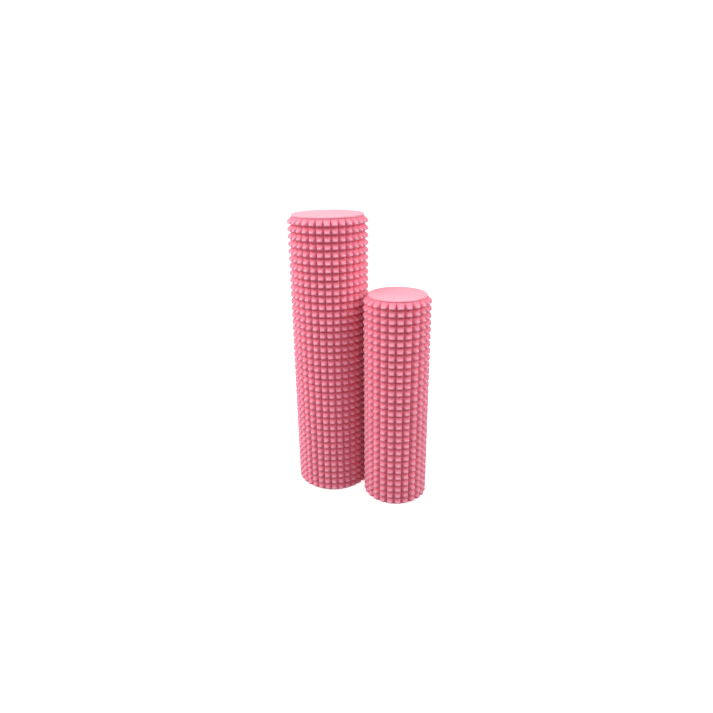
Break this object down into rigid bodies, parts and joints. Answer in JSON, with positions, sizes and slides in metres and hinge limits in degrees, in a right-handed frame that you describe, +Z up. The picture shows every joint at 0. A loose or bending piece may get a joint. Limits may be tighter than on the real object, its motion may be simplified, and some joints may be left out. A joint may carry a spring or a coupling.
{
  "type": "studded foam massage rollers",
  "caption": "Tall and short round foam massage rollers standing on end side by side, covered with rows of small pyramid studs and closed by smooth flat end discs.",
  "frame": {"origin": "on the floor, midway between the outer sides of the two standing rollers", "axes": "+Z up along both rollers' axes, +X from the tall roller's axis to the short roller's axis"},
  "size_m": [0.2058, 0.1106, 0.406],
  "materials": {
    "studded_foam": "matt closed-cell foam, moulded",
    "end_foam": "matt closed-cell foam, smooth flat face",
    "core_foam": "matt closed-cell foam, cut"
  },
  "bodies": {
    "tall_roller": {"tall_studded_skin": "studded_foam", "tall_core": "core_foam", "tall_top_disc": "end_foam", "tall_bottom_disc": "end_foam"},
    "short_roller": {"short_studded_skin": "studded_foam", "short_core": "core_foam", "short_top_disc": "end_foam", "short_bottom_disc": "end_foam"}
  },
  "joints": [
    {"name": "short_roller_apart", "type": "slide", "parent": "tall_roller", "child": "short_roller", "axis": [1, 0, 0], "range_m": [0, 0.2]}
  ]
}
